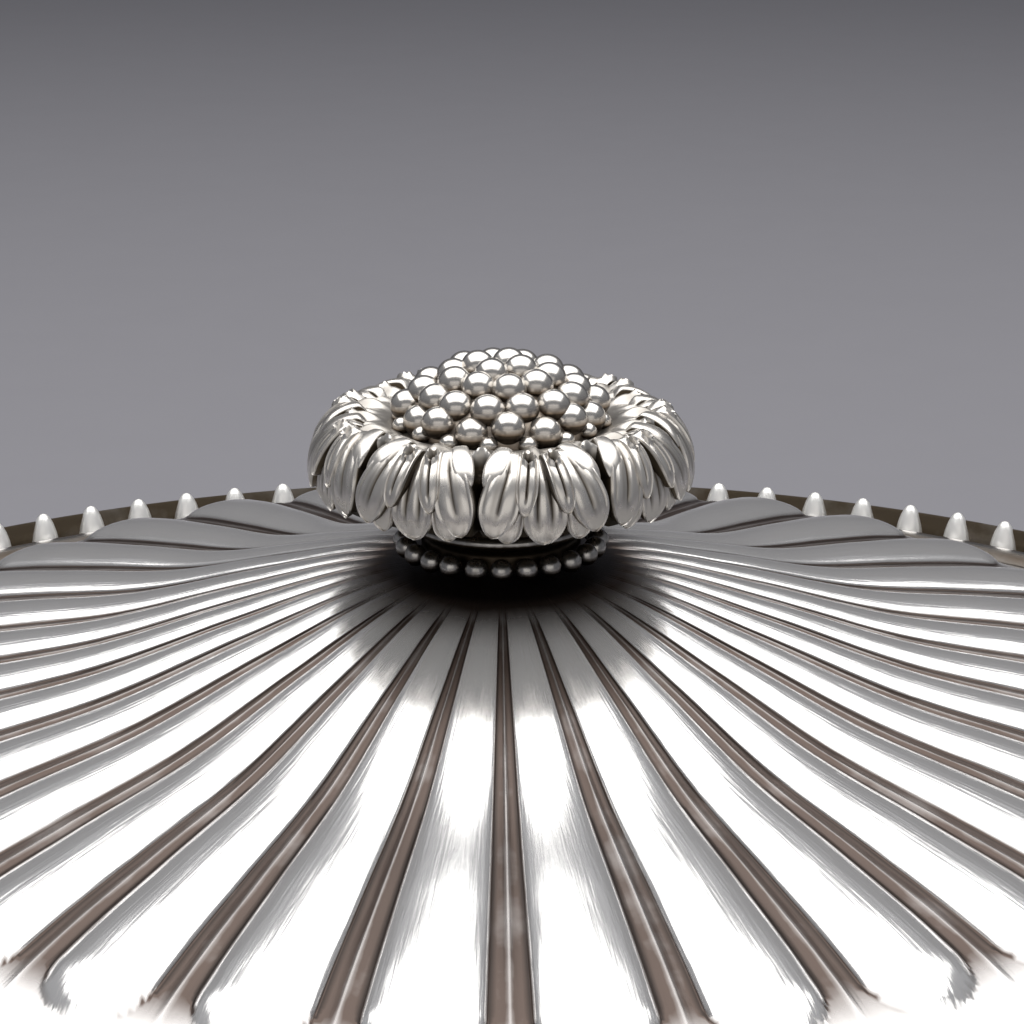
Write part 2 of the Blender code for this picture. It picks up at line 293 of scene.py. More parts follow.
def step_up(value: Array, low: float, high: float) -> Array:
    """Smooth rise from 0 at low to 1 at high."""
    t = np.clip((value - low) / (high - low), 0.0, 1.0)
    return t * t * (3.0 - 2.0 * t)


def bump_at(value: Array, centre: float, width: float) -> Array:
    """Bell curve round a centre."""
    return np.exp(-(((value - centre) / width) ** 2))


@dataclass
class Patch:
    """Points, faces, and tarnish with painted shade, of a mesh under construction."""

    points: Array
    faces: list[tuple[int, ...]]
    tarnish: Array

    @staticmethod
    def grid(points: Array, tarnish: Array, wrap_rows: bool = False, wrap_columns: bool = False) -> "Patch":
        """Quads over a grid of points.

        Args:
            points: array of rows by columns by 3.
            tarnish: array of rows by columns, of tarnish and painted shade.
            wrap_rows: join the last row to the first.
            wrap_columns: join the last column to the first.

        Returns:
            The patch.
        """
        rows, columns = points.shape[:2]
        row, column = np.meshgrid(
            np.arange(rows if wrap_rows else rows - 1), np.arange(columns if wrap_columns else columns - 1),
            indexing="ij",
        )
        below, beside = (row + 1) % rows, (column + 1) % columns
        corners = [row * columns + column, row * columns + beside, below * columns + beside,
                   below * columns + column]
        faces = np.stack(corners, axis=-1).reshape(-1, 4)
        return Patch(points.reshape(-1, 3), [tuple(face) for face in faces.tolist()], tarnish.reshape(-1))

    def joined(self, other: "Patch") -> "Patch":
        """Both patches in one."""
        shift = len(self.points)
        faces = self.faces + [tuple(corner + shift for corner in face) for face in other.faces]
        tarnish = np.concatenate([self.tarnish, other.tarnish])
        return Patch(np.vstack([self.points, other.points]), faces, tarnish)

    def build(self, name: str, material: bpy.types.Material, closed: bool = True) -> bpy.types.Object:
        """Makes an object of the patch.

        Args:
            name: the object's name.
            material: its material.
            closed: weld it and turn its faces outward; a sector of a ring is left open.

        Returns:
            The linked object.
        """
        mesh = bpy.data.meshes.new(name)
        mesh.from_pydata(self.points.tolist(), [], self.faces)
        layer = mesh.attributes.new(TARNISH_AND_SHADE, "FLOAT", "POINT")
        layer.data.foreach_set("value", self.tarnish.astype(np.float32))
        mesh.materials.append(material)
        made = bpy.data.objects.new(name, mesh)
        bpy.context.scene.collection.objects.link(made)
        if closed:
            finish_mesh(made)
        return made


def finish_mesh(made: bpy.types.Object, sharp_deg: float = 42.0) -> None:
    """Welds doubles, turns faces outward and shades the mesh smooth.

    Args:
        made: the object.
        sharp_deg: edges bent more than this stay crisp.
    """
    bm = bmesh.new()
    bm.from_mesh(made.data)
    bmesh.ops.remove_doubles(bm, verts=bm.verts, dist=WELD)
    bmesh.ops.dissolve_degenerate(bm, dist=WELD * 0.2, edges=bm.edges)
    bmesh.ops.recalc_face_normals(bm, faces=bm.faces)
    bm.to_mesh(made.data)
    bm.free()
    made.data.shade_smooth()
    made.data.set_sharp_from_angle(angle=math.radians(sharp_deg))


def polar(radius: Array, angle: Array, height: Array) -> Array:
    """Points from radius, angle round Z, and height."""
    return np.stack([radius * np.cos(angle), radius * np.sin(angle), height], axis=-1)


def turned(name: str, outline: Outline, material: bpy.types.Material, steps: int,
           tarnish: Sequence[float] = ()) -> bpy.types.Object:
    """Closed outline turned once round Z.

    Args:
        name: the object's name.
        outline: closed loop of (radius, height), not repeated at the end.
        material: its material.
        steps: columns round.
        tarnish: tarnish and painted shade of each outline point, none where it is empty.

    Returns:
        The object.
    """
    loop = np.array(outline, float)
    angle = np.linspace(0.0, 2.0 * math.pi, steps, endpoint=False)
    radius, turn = np.meshgrid(loop[:, 0], angle, indexing="ij")
    height = np.repeat(loop[:, 1:2], steps, axis=1)
    level = np.array(tarnish if len(tarnish) else np.zeros(len(loop)), float)
    patch = Patch.grid(polar(radius, turn, height), np.repeat(level[:, None], steps, axis=1), True, True)
    return patch.build(name, material)


def arc(centre: tuple[float, float], radius: float, start_deg: float, end_deg: float, steps: int) -> list:
    """Points on an arc in the radius and height plane."""
    angles = np.radians(np.linspace(start_deg, end_deg, steps + 1))
    return [(centre[0] + radius * math.cos(a), centre[1] + radius * math.sin(a)) for a in angles]


def wire_ring(name: str, centre: tuple[float, float], radius: float, material: bpy.types.Material,
              steps: int = 160) -> bpy.types.Object:
    """Round wire bent to a ring round Z."""
    loop = arc(centre, radius, 0.0, 337.5, 15)
    # lower part of the wire made darker
    darkening = [0.75 if point[1] < centre[1] - 0.3 * radius else 0.05 for point in loop]
    return turned(name, loop, material, steps, darkening)


# ---------------------------------------------------------------- geometry nodes


@dataclass(frozen=True)
class RingOf:
    """Geometry Nodes tree that sets copies of a piece round the Z axis."""

    count: int
    first_angle: float = 0.0
    wobble: float = 0.0
    seed: int = 7

    def tree(self) -> tuple[bpy.types.NodeTree, dict[str, str]]:
        """Builds the tree.

        Returns:
            The tree, and each input's identifier by its name.
        """
        tree = bpy.data.node_groups.new("ring_of_copies", "GeometryNodeTree")
        sockets = {"Piece": "NodeSocketGeometry", "Count": "NodeSocketInt", "First Angle": "NodeSocketFloat",
                   "Wobble": "NodeSocketFloat", "Seed": "NodeSocketInt", "Weld": "NodeSocketFloat",
                   "Material": "NodeSocketMaterial"}
        for name, kind in sockets.items():
            tree.interface.new_socket(name, in_out="INPUT", socket_type=kind)
        tree.interface.new_socket("Ring", in_out="OUTPUT", socket_type="NodeSocketGeometry")
        graph = Graph(tree)
        given = graph.tree.nodes.new("NodeGroupInput")
        wire = {name: Wire(graph, given.outputs[name]) for name in sockets}
        index = graph.node("GeometryNodeInputIndex")
        stray = graph.node("FunctionNodeRandomValue", {"data_type": "FLOAT"},
                           {2: -1.0, 3: 1.0, 7: index, 8: wire["Seed"]}, output=1)
        angle = index * (2.0 * math.pi) / wire["Count"] + wire["First Angle"] + stray * wire["Wobble"]
        euler = graph.node("ShaderNodeCombineXYZ", {}, {2: angle})
        turn = graph.node("FunctionNodeEulerToRotation", {}, {0: euler})
        points = graph.node("GeometryNodePoints", {}, {"Count": wire["Count"]})
        copies = graph.node("GeometryNodeInstanceOnPoints", {}, {
            "Points": points, "Instance": wire["Piece"], "Rotation": turn})
        solid = graph.node("GeometryNodeRealizeInstances", {}, {0: copies})
        welded = graph.node("GeometryNodeMergeByDistance", {}, {"Geometry": solid, "Distance": wire["Weld"]})
        dressed = graph.node("GeometryNodeSetMaterial", {}, {
            "Geometry": welded, "Material": wire["Material"]})
        out = graph.tree.nodes.new("NodeGroupOutput")
        graph.tree.links.new(dressed.socket, out.inputs[0])
        names = {item.name: item.identifier for item in tree.interface.items_tree if item.in_out == "INPUT"}
        return tree, names

    def apply(self, piece: bpy.types.Object, material: bpy.types.Material) -> bpy.types.Object:
        """Replaces the piece's mesh by the ring of its copies.

        Args:
            piece: the object of one copy.
            material: the ring's material.

        Returns:
            The same object, as a plain closed mesh.
        """
        tree, names = self.tree()
        values = {"Count": self.count, "First Angle": self.first_angle, "Wobble": self.wobble,
                  "Seed": self.seed, "Weld": WELD, "Material": material}
        return bake_nodes(piece, tree, {names[name]: value for name, value in values.items()})


def bake_nodes(piece: bpy.types.Object, tree: bpy.types.NodeTree, values: dict[str, Any]) -> bpy.types.Object:
    """Runs a Geometry Nodes tree on a piece and keeps the result as its mesh.

    Args:
        piece: the object.
        tree: the node tree.
        values: the modifier's inputs by identifier.

    Returns:
        The object, with no modifier left.
    """
    modifier = piece.modifiers.new("nodes", "NODES")
    modifier.node_group = tree
    for identifier, value in values.items():
        modifier[identifier] = value
    piece.update_tag()
    bpy.context.view_layer.update()
    ready = piece.evaluated_get(bpy.context.evaluated_depsgraph_get())
    mesh = bpy.data.meshes.new_from_object(ready)
    piece.modifiers.remove(modifier)
    old = piece.data
    piece.data = mesh
    mesh.name = piece.name
    bpy.data.meshes.remove(old)
    finish_mesh(piece)
    return piece


# ---------------------------------------------------------------- sizes from the frame


@dataclass(frozen=True)
class Sizes:
    """Places read from the CAD frame."""

    lid_centre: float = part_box("finial_neck")[0].z - NECK_LIFT * LEAF_UNIT
    sheet_radius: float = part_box("lid_dome")[1].x
    stud_hole: float = 0.0018

    def finial(self, points: Outline) -> list[tuple[float, float]]:
        """Outline in metres from one in leaf units above the middle of the lid."""
        return [(r * LEAF_UNIT, self.lid_centre + z * LEAF_UNIT) for r, z in points]


SIZES = Sizes()


@dataclass
class Fitter:
    """Fastens finished pieces to the CAD bodies and reports them."""

    body: str

    def fit(self, piece: bpy.types.Object, slot: str, *nodes: str) -> None:
        """Rides with the body, hides the replaced nodes, and logs.

        Args:
            piece: the finished piece.
            slot: not used.
            *nodes: CAD nodes that it stands for.
        """
        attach(piece, self.body)
        if nodes:
            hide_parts(*nodes)
        LOG.info("%s: %d faces on %s", piece.name, len(piece.data.polygons), self.body)


# ---------------------------------------------------------------- the lid


@dataclass
class Lid:
    """Sheet lid raised in long rounded lobes with narrow fillets between, its edge wire and its bezel."""

    curve: Outline = ((0.0, 0.0), (0.7, 0.076), (1.4, 0.268), (2.1, 0.475), (2.8, 0.600), (3.4, 0.715),
                      (3.9, 0.865), (4.7, 1.245), (5.9, 1.640))
    lobe_start: float = 0.56
    lobe_end: float = 3.80
    lobe_share: float = 0.73
    bulge: float = 0.27  # a lobe's rise over half its width
    step: float = 0.00008
    spine: float = 0.00013
    fitter: Fitter = field(default_factory=lambda: Fitter("lid"))

    def height(self, radius: Array) -> Array:
        """Plain height of the lid's top at a radius."""
        line = smooth_through(self.curve, 400)
        return SIZES.lid_centre - np.interp(radius / LEAF_UNIT, line[:, 0], line[:, 1]) * LEAF_UNIT

    def columns(self) -> Array:
        """Places across one lobe and the two half fillets beside it, -1 and 1 in the fillets' middles."""
        inside = np.sin(np.linspace(-0.5, 0.5, 17) * math.pi) * self.lobe_share
        fillet = np.array([0.10, 0.45, 0.75, 0.90, 1.0]) * (1.0 - self.lobe_share) + self.lobe_share
        return np.concatenate([-fillet[::-1], inside, fillet])

    def relief(self, radius: Array, across: Array) -> tuple[Array, Array]:
        """Height added by lobes and fillets, the tarnish that the fillets hold, and painted shade round the
        neck.

        Args:
            radius: radius in leaf units.
            across: place across the lobe, -1 to 1 between the middles of two fillets.

        Returns:
            Height in metres, and tarnish with painted shade round the neck.
        """
        half = math.pi / LID_LOBES * radius * self.lobe_share
        beyond = np.clip(radius - self.lobe_end + half, 0.0, None) / np.maximum(half, 1e-4)
        reach = np.sqrt((across / self.lobe_share) ** 2 + beyond**2)
        grown = step_up(radius, self.lobe_start, self.lobe_start + 0.30)
        rise = self.bulge * half * LEAF_UNIT * grown
        on_lobe = 1.0 - step_up(reach, 0.985, 1.03)
        swell = rise * np.clip(1.0 - reach**2, 0.0, 1.0) ** 0.64 + self.step * on_lobe * grown
        to_middle = ((1.0 - np.abs(across)) / (1.0 - self.lobe_share)).clip(0.0, 1.0)
        ends = 1.0 - step_up(radius, self.lobe_end - 0.30, self.lobe_end + 0.12)
        between = (1.0 - on_lobe) * ends * grown
        line = bump_at(to_middle, 0.0, 0.22) * between
        height = swell - 0.55 * rise + self.spine * line
        stain_and_shade = between * (0.92 - 0.35 * bump_at(to_middle, 0.0, 0.10))
        stain_and_shade = stain_and_shade + 0.85 * bump_at(reach, 1.015, 0.030) * grown * ends
        # painted shade: the sheet goes dark round the neck, standing in for the finial's shade and dark
        # reflection
        neck = 1.0 - step_up(radius, 0.55, 1.05)
        return height, np.clip(np.maximum(stain_and_shade, neck), 0.0, 1.0)

    def dome(self, material: bpy.types.Material) -> bpy.types.Object:
        """Sheet of the lid, made as one lobe's sector and set round the axis."""
        round_from, round_to = self.lobe_end - 0.40, self.lobe_end + 0.06
        lobed = np.linspace(self.lobe_start, round_from, 44)
        ends = np.linspace(round_from, round_to, 16)[1:]
        plain = np.linspace(round_to, SIZES.sheet_radius / LEAF_UNIT, 16)[1:]
        inner = np.linspace(SIZES.stud_hole / LEAF_UNIT, self.lobe_start, 6)[:-1]
        top = np.concatenate([inner, lobed, ends, plain])
        under = top[::-5].copy()
        under[-1] = top[0]
        radii = np.concatenate([top, under])
        radius, place = np.meshgrid(radii, self.columns(), indexing="ij")
        lift, stain_and_shade = self.relief(radius, place)
        below = np.arange(len(radii))[:, None] >= len(top)
        height = self.height(radius * LEAF_UNIT) + np.where(below, lift * 0.55 - SHEET * 0.85, lift)
        stain_and_shade = np.where(below, 0.25, stain_and_shade)
        angle = place * math.pi / LID_LOBES
        sector = Patch.grid(polar(radius * LEAF_UNIT, angle, height), stain_and_shade, wrap_rows=True)
        piece = sector.build("lid_dome_sheet", material, closed=False)
        return RingOf(LID_LOBES, FILLET_TURN + math.pi / LID_LOBES).apply(piece, material)

    def edge(self, material: bpy.types.Material) -> bpy.types.Object:
        """Half-round wire round the sheet's edge."""
        low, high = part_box("lid_edge")
        outer = high.x
        inner = SIZES.sheet_radius + 0.00015
        top = high.z
        loop = [(inner, low.z), (outer - 0.0003, low.z), (outer, low.z + 0.0005)]
        loop += arc((outer - 0.0006, top - 0.0006), 0.0006, 0.0, 90.0, 6)
        loop += [(inner + 0.0001, top - 0.00005), (inner, top - 0.0003)]
        return turned("lid_edge_wire", loop, material, 240, [0.3, 0.3, 0.3] + [0.05] * 7 + [0.7, 0.8])

    def bezel(self, material: bpy.types.Material) -> bpy.types.Object:
        """Upright flange that sits in the mouth."""
        low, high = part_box("lid_bezel")
        outer = high.x
        inner = outer - SHEET
        top_outer = float(self.height(np.array(outer))) - SHEET - 0.0003
        loop = [(inner, low.z + 0.0002), (inner + 0.0002, low.z), (outer - 0.0003, low.z)]
        loop += [(outer, low.z + 0.0004), (outer, top_outer - 0.0012), (outer, top_outer)]
        loop += [(inner, high.z - 0.0002)]
        return turned("lid_bezel_flange", loop, material, 200, [0.2, 0.2, 0.3, 0.2, 0.3, 0.6, 0.5])

    def build(self, finishes: dict[str, bpy.types.Material]) -> None:
        """Makes and fits the lid's pieces."""
        self.fitter.fit(self.dome(finishes["lobed"]), "polished_silver", "lid_dome")
        self.fitter.fit(self.edge(finishes["polished"]), "polished_silver", "lid_edge")
        self.fitter.fit(self.bezel(finishes["satin"]), "inside_silver", "lid_bezel")


# ---------------------------------------------------------------- the finial


@dataclass(frozen=True)
class Lobe:
    """One pointed lobe of a leaf, laid over the collar. Angles in degrees from the leaf's middle."""

    path: Outline  # (angle, share of the way down the collar), root to tip
    width: float  # half width at its widest
    lift: float  # above the collar, in leaf units
    crown: float
    veins: tuple[float, ...] = (0.0,)
    root: float = 0.35
    widest: float = 0.60
    eye: float = 0.0  # place of a drilled eye along the lobe, none at 0
    border: float = 1.0  # strength of the raised edge
    rows: int = 34
    columns: int = 21

    def mirrored(self) -> "Lobe":
        """The same lobe on the leaf's other half."""
        path = tuple((-angle, place) for angle, place in self.path)
        veins = tuple(-vein for vein in self.veins)
        return replace(self, path=path, veins=veins)

    def patch(self, collar: "Collar") -> Patch:
        """Closed shell of the lobe.

        Args:
            collar: gives the surface that it lies on.

        Returns:
            The patch.
        """
        t = np.linspace(0.0, 1.0, self.rows) ** 0.92
        line = smooth_through(self.path, 120)
        length = np.concatenate([[0.0], np.cumsum(np.hypot(
            np.diff(np.radians(line[:, 0])) * CREST, np.diff(line[:, 1]) * collar.length))])
        share = length / length[-1]
        angle = np.radians(np.interp(t, share, line[:, 0]))
        down = np.interp(t, share, line[:, 1])
        along = np.stack([np.gradient(angle) * CREST, np.gradient(down) * collar.length], axis=-1)
        along /= np.linalg.norm(along, axis=1, keepdims=True)
        rise = self.root + (1.0 - self.root) * np.sin(0.5 * math.pi * np.clip(t / self.widest, 0.0, 1.0))
        fall = np.cos(0.5 * math.pi * np.clip((t - self.widest) / (1.0 - self.widest), 0.0, 1.0))
        half = math.radians(self.width) * CREST * rise * np.maximum(fall, 0.0) ** 0.58
        across = np.sin(np.linspace(-0.5, 0.5, self.columns) * math.pi)
        grid_t, grid_c = np.meshgrid(t, across, indexing="ij")
        offset = grid_c * half[:, None]
        turn = angle[:, None] + offset * along[:, 1:2] / CREST
        place = down[:, None] - offset * along[:, 0:1] / collar.length
        height, stain_and_shade = self.relief(grid_t, grid_c, half[:, None] / (math.radians(self.width) * CREST))
        top = collar.at(turn, place, height)
        edge_turn, edge_place = turn[:, (0, -1)], place[:, (0, -1)]
        floor = collar.at(edge_turn, edge_place, np.full_like(edge_turn, self.lift - 0.055))
        shell = np.concatenate([top, floor[:, 1:], floor[:, :1]], axis=1)
        darkening = np.concatenate([stain_and_shade, np.ones((self.rows, 2))], axis=1)
        return Patch.grid(shell, darkening, wrap_columns=True).joined(self.root_cap(shell[0], darkening[0]))

    @staticmethod
    def root_cap(ring: Array, darkening: Array) -> Patch:
        """Face that closes the lobe's root."""
        return Patch(ring.copy(), [tuple(range(len(ring)))], darkening.copy())

    def relief(self, t: Array, c: Array, fullness: Array) -> tuple[Array, Array]:
        """Height over the collar and tarnish, for places along and across the lobe.

        Args:
            t: place along, 0 to 1.
            c: place across, -1 to 1.
            fullness: width there as a share of the widest.

        Returns:
            Height in leaf units, and tarnish.
        """
        body = np.sqrt(np.clip(1.0 - np.abs(c) ** 3, 0.0, 1.0))
        settle = step_up(t, 0.0, 0.25)
        height = self.lift * settle - 0.030 * (1.0 - settle)
        height = height + self.crown * fullness * (0.35 + 0.65 * settle) * body
        height = height + 0.011 * self.border * bump_at(np.abs(c), 0.86, 0.07) * step_up(t, 0.15, 0.4)
        window = step_up(t, 0.22, 0.42) * (1.0 - step_up(t, 0.72, 0.90))
        stain_and_shade = 0.08 + 0.85 * step_up(np.abs(c), 0.93, 0.99)
        for vein in self.veins:
            cut = bump_at(c, vein, 0.065) * window
            height = height - 0.013 * cut
            stain_and_shade = stain_and_shade + 0.85 * cut
        if self.eye > 0.0:
            off = np.hypot((t - self.eye) / 0.060, c / 0.42)
            spot = np.clip(1.0 - off**2, 0.0, 1.0)
            height = height - 0.060 * spot + 0.022 * bump_at(off, 1.40, 0.28)
            stain_and_shade = stain_and_shade + 1.2 * spot
        height = height - 0.003 * self.border * bump_at(np.abs(c), 0.72, 0.05) * window
        stain_and_shade = stain_and_shade + 0.28 * self.border * bump_at(np.abs(c), 0.72, 0.05) * window
        return height, np.clip(stain_and_shade + 0.35 * (1.0 - step_up(t, 0.0, 0.12)), 0.0, 1.0)


class Collar:
    """The rolled surface that the leaves lie on, from the seeds over the crest and down to the tips."""

    profile: Outline = ((0.545, 0.695), (0.610, 0.724), (0.690, 0.738), (0.785, 0.722), (0.862, 0.668),
                        (0.915, 0.585), (0.938, 0.490), (0.936, 0.405), (0.905, 0.325), (0.872, 0.270))
    tip_height: float = 0.325  # where a leaf's tips end

    def __init__(self) -> None:
        """Measures the profile."""
        line = smooth_through(self.profile, 300)
        steps = np.hypot(*np.diff(line, axis=0).T)
        place = np.concatenate([[0.0], np.cumsum(steps)])
        self.length = float(place[np.argmin(np.abs(line[:, 1] - self.tip_height))])
        slope = np.gradient(line, axis=0)
        slope /= np.linalg.norm(slope, axis=1, keepdims=True)
        self.share = place / self.length
        self.line = line
        self.outward = np.stack([-slope[:, 1], slope[:, 0]], axis=-1)

    def at(self, turn: Array, place: Array, height: Array) -> Array:
        """Points over the collar.

        Args:
            turn: angle from the leaf's middle, in radians.
            place: share of the way down.
            height: above the surface, in leaf units.

        Returns:
            Points in metres.
        """
        base = [np.interp(place, self.share, self.line[:, axis]) for axis in (0, 1)]
        out = [np.interp(place, self.share, self.outward[:, axis]) for axis in (0, 1)]
        radius = (base[0] + out[0] * height) * LEAF_UNIT
        return polar(radius, turn, SIZES.lid_centre + (base[1] + out[1] * height) * LEAF_UNIT)


@dataclass
class Finial:
    """Leaf collar, seeds, neck and the fastenings under the lid."""

    seed_rings: Sequence[tuple[int, float, float, float, float, float]] = (
        # count, radius, first angle, seed radius, height, rise of every second seed
        (16, 0.505, -52.0, 0.050, 0.712, 0.0), (16, 0.462, -63.0, 0.086, 0.758, 0.034),
        (14, 0.380, -61.0, 0.088, 0.858, 0.0), (10, 0.252, -63.0, 0.088, 0.930, 0.0),
        (4, 0.112, -22.0, 0.088, 0.970, 0.0))
    seed_stretch: float = 0.96
    seed_segments: int = 26
    fitter: Fitter = field(default_factory=lambda: Fitter("lid"))

    def lobes(self) -> list[Lobe]:
        """The lobes of one leaf, lower layer first."""
        middle = Lobe(((0.0, 0.18), (0.0, 0.50), (0.0, 0.975)), 7.2, 0.000, 0.012, (-0.30, 0.30), 0.42, 0.74)
        side = Lobe(((8.4, 0.62), (10.2, 0.78), (11.6, 0.955)), 4.2, -0.004, 0.012, (), 0.7, 0.66)
        inner = Lobe(((3.4, 0.24), (4.2, 0.42), (5.6, 0.60), (6.5, 0.755)), 3.5, 0.034, 0.020, (0.0,),
                     0.80, 0.62, 0.30)
        outer = Lobe(((8.6, 0.16), (9.6, 0.38), (13.0, 0.64), (15.8, 0.890)), 6.1, 0.022, 0.024,
                     (0.02, 0.24), 0.50, 0.72)
        shoulder = Lobe(((10.6, 0.16), (12.0, 0.30), (14.6, 0.43), (17.8, 0.58)), 3.8, 0.022, 0.026, (), 0.55,
                        0.60, border=0.0)
        halves = [side, inner, outer, shoulder]
        return [middle] + halves + [lobe.mirrored() for lobe in halves]

    def collar_ring(self, collar: Collar) -> Patch:
        """Sector of the ring under one leaf, with the drilled eye between two leaves."""
        half = math.pi / LEAVES
        turn = np.linspace(-half, half, 57)
        down = np.linspace(0.0, 0.93, 52)
        place, angle = np.meshgrid(down, turn, indexing="ij")
        side = (half - np.abs(angle)) * 0.90
        along = (place - 0.415) * collar.length
        off = np.hypot(side, along * 0.85)
        eye = np.clip(1.0 - (off / 0.056) ** 2, 0.0, 1.0)
        arch = bump_at(off, 0.074, 0.014) * (1.0 - step_up(along, 0.0, 0.04))
        scallop = 0.010 * np.cos(LEAVES * 2.0 * angle) * bump_at(place, 0.22, 0.10)
        crease = 0.050 * bump_at(side, 0.0, 0.016) * step_up(place, 0.46, 0.55)
        fold = 0.016 * np.cos(angle * LEAVES * 4.0) * bump_at(place, 0.24, 0.10)
        height = 0.034 * arch - 0.060 * eye + scallop + fold - crease - 0.022 * step_up(place, 0.42, 0.60)
        stain_and_shade = 0.55 + 0.45 * step_up(place, 0.40, 0.55) - 0.30 * bump_at(place, 0.16, 0.10)
        stain_and_shade = np.clip(stain_and_shade + 0.5 * eye - 0.5 * arch, 0.0, 1.0)
        outside = collar.at(angle, place, height)
        back = SIZES.finial([(0.84, 0.40), (0.80, 0.52), (0.66, 0.600), (0.47, 0.570), (0.475, 0.660)])
        radius, spin = np.meshgrid([point[0] for point in back], turn, indexing="ij")
        level = np.repeat(np.array([point[1] for point in back])[:, None], len(turn), axis=1)
        loop = np.concatenate([outside, polar(radius, spin, level)])
        return Patch.grid(loop, np.concatenate([stain_and_shade, np.full_like(radius, 0.9)]), wrap_rows=True)

    def collar(self, material: bpy.types.Material) -> bpy.types.Object:
        """Nine leaves on their ring."""
        surface = Collar()
        leaf = self.collar_ring(surface)
        for lobe in self.lobes():
            leaf = leaf.joined(lobe.patch(surface))
        piece = leaf.build("leaf_collar_leaves", material, closed=False)
        return RingOf(LEAVES, LEAF_TURN).apply(piece, material)

    def seed_places(self) -> list[tuple[float, float, float, float]]:
        """Centre and radius of each seed, in leaf units above the middle of the lid."""
        found = []
        for count, radius, first, size, level, rise in self.seed_rings:
            for step in range(count):
                angle = math.radians(first + 360.0 * step / count)
                stray = radius + 0.012 * math.sin(2.3 * step + 11.0 * radius)
                up = level + rise * (step % 2)
                found.append((stray * math.sin(angle), -stray * math.cos(angle), up, size))
        return found

    def seeds(self, material: bpy.types.Material) -> bpy.types.Object:
        """Seeds instanced on their places, on the dome that they are cast with."""
        places = self.seed_places()
        points = np.array([(x, y, z) for x, y, z, _ in places]) * LEAF_UNIT + (0.0, 0.0, SIZES.lid_centre)
        mesh = bpy.data.meshes.new("seed_places")
        mesh.from_pydata(points.tolist(), [], [])
        sizes = np.array([size for *_, size in places], np.float32) * LEAF_UNIT
        mesh.attributes.new("size", "FLOAT", "POINT").data.foreach_set("value", sizes)
        piece = bpy.data.objects.new("seeds", mesh)
        bpy.context.scene.collection.objects.link(piece)
        tree = bpy.data.node_groups.new("seeds_on_places", "GeometryNodeTree")
        names = {}
        for name, kind in (("Places", "NodeSocketGeometry"), ("Stretch", "NodeSocketFloat"),
                           ("Segments", "NodeSocketInt"), ("Material", "NodeSocketMaterial")):
            names[name] = tree.interface.new_socket(name, in_out="INPUT", socket_type=kind).identifier
        tree.interface.new_socket("Seeds", in_out="OUTPUT", socket_type="NodeSocketGeometry")
        graph = Graph(tree)
        given = tree.nodes.new("NodeGroupInput")
        wire = {name: Wire(graph, given.outputs[name]) for name in names}
        ball = graph.node("GeometryNodeMeshUVSphere", {}, {
            "Segments": wire["Segments"], "Rings": wire["Segments"] * 0.6, "Radius": 1.0})
        size = graph.node("GeometryNodeInputNamedAttribute", {"data_type": "FLOAT"}, {"Name": "size"})
        scale = graph.node("ShaderNodeCombineXYZ", {}, {0: size, 1: size, 2: size * wire["Stretch"]})
        copies = graph.node("GeometryNodeInstanceOnPoints", {}, {
            "Points": wire["Places"], "Instance": ball, "Scale": scale})
        spot = graph.node("GeometryNodeInputPosition")
        level = graph.node("ShaderNodeSeparateXYZ", {}, {0: spot}, output=2)
        # painted shade: each seed darker on its lower part, with the brown of the crevice where it meets the
        # dome
        under = (0.62 - level / 1.6).clamped()
        shade_below = graph.node("GeometryNodeStoreNamedAttribute", {"data_type": "FLOAT", "domain": "POINT"}, {
            "Geometry": ball, "Name": TARNISH_AND_SHADE, "Value": under * under * under * 2.2})
        graph.tree.links.new(shade_below.socket, copies.socket.node.inputs["Instance"])
        solid = graph.node("GeometryNodeRealizeInstances", {}, {0: copies})
        dressed = graph.node("GeometryNodeSetMaterial", {}, {"Geometry": solid, "Material": wire["Material"]})
        out = tree.nodes.new("NodeGroupOutput")
        tree.links.new(dressed.socket, out.inputs[0])
        values = {names["Stretch"]: self.seed_stretch, names["Segments"]: self.seed_segments,
                  names["Material"]: material}
        return bake_nodes(piece, tree, values)

    def seed_dome(self, material: bpy.types.Material) -> bpy.types.Object:
        """Dome between the seeds, with the plug inside the collar."""
        crown = [(0.492 * math.cos(a), 0.690 + 0.268 * math.sin(a)) for a in np.linspace(0.0, 1.52, 16)]
        loop = [(0.0, 0.958)] + crown[::-1] + [(0.520, 0.684), (0.530, 0.668), (0.430, 0.640), (0.430, 0.360)]
        loop += [(0.16, 0.360), (0.16, 0.800), (0.0, 0.800)]
        stain_and_shade = [0.70] * 17 + [0.55, 0.7] + [0.9] * 5
        return turned("seed_dome", SIZES.finial(loop), material, 96, stain_and_shade)

    def neck(self, material: bpy.types.Material) -> bpy.types.Object:
        """Drum with a hollow waist."""
        loop = [(0.164, 0.030), (0.400, 0.022), (0.408, 0.040), (0.408, 0.100), (0.398, 0.118)]
        loop += [(0.372, 0.130)]
        loop += [tuple(point) for point in smooth_through(((0.360, 0.145), (0.345, 0.185), (0.352, 0.235),
                                                           (0.385, 0.285)), 9)]
        loop += [(0.392, 0.300), (0.392, 0.330), (0.164, 0.330)]
        # darkened all over, most in the hollow waist: tarnish, and painted shade under the leaf collar
        stain_and_shade = [0.9, 0.9, 0.6, 0.55, 0.7, 0.8] + [0.85] * 9 + [0.7, 0.8, 0.9]
        return turned("finial_neck_drum", SIZES.finial(loop), material, 128, stain_and_shade)

    def bead_ring(self, material: bpy.types.Material) -> bpy.types.Object:
        """Beads soldered round the neck."""
        centre = SIZES.finial([(0.495, 0.068)])[0]
        return bead_circle("neck_beads", centre, 0.057 * LEAF_UNIT, NECK_BEADS, material)

    def fastenings(self, material: bpy.types.Material) -> None:
        """Gives the stud, washer and nut their finish."""
        for name in ("finial_stud", "finial_washer", "finial_nut"):
            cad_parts[name].data.materials.clear()
            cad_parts[name].data.materials.append(material)
            LOG.info("%s: dressed", name)

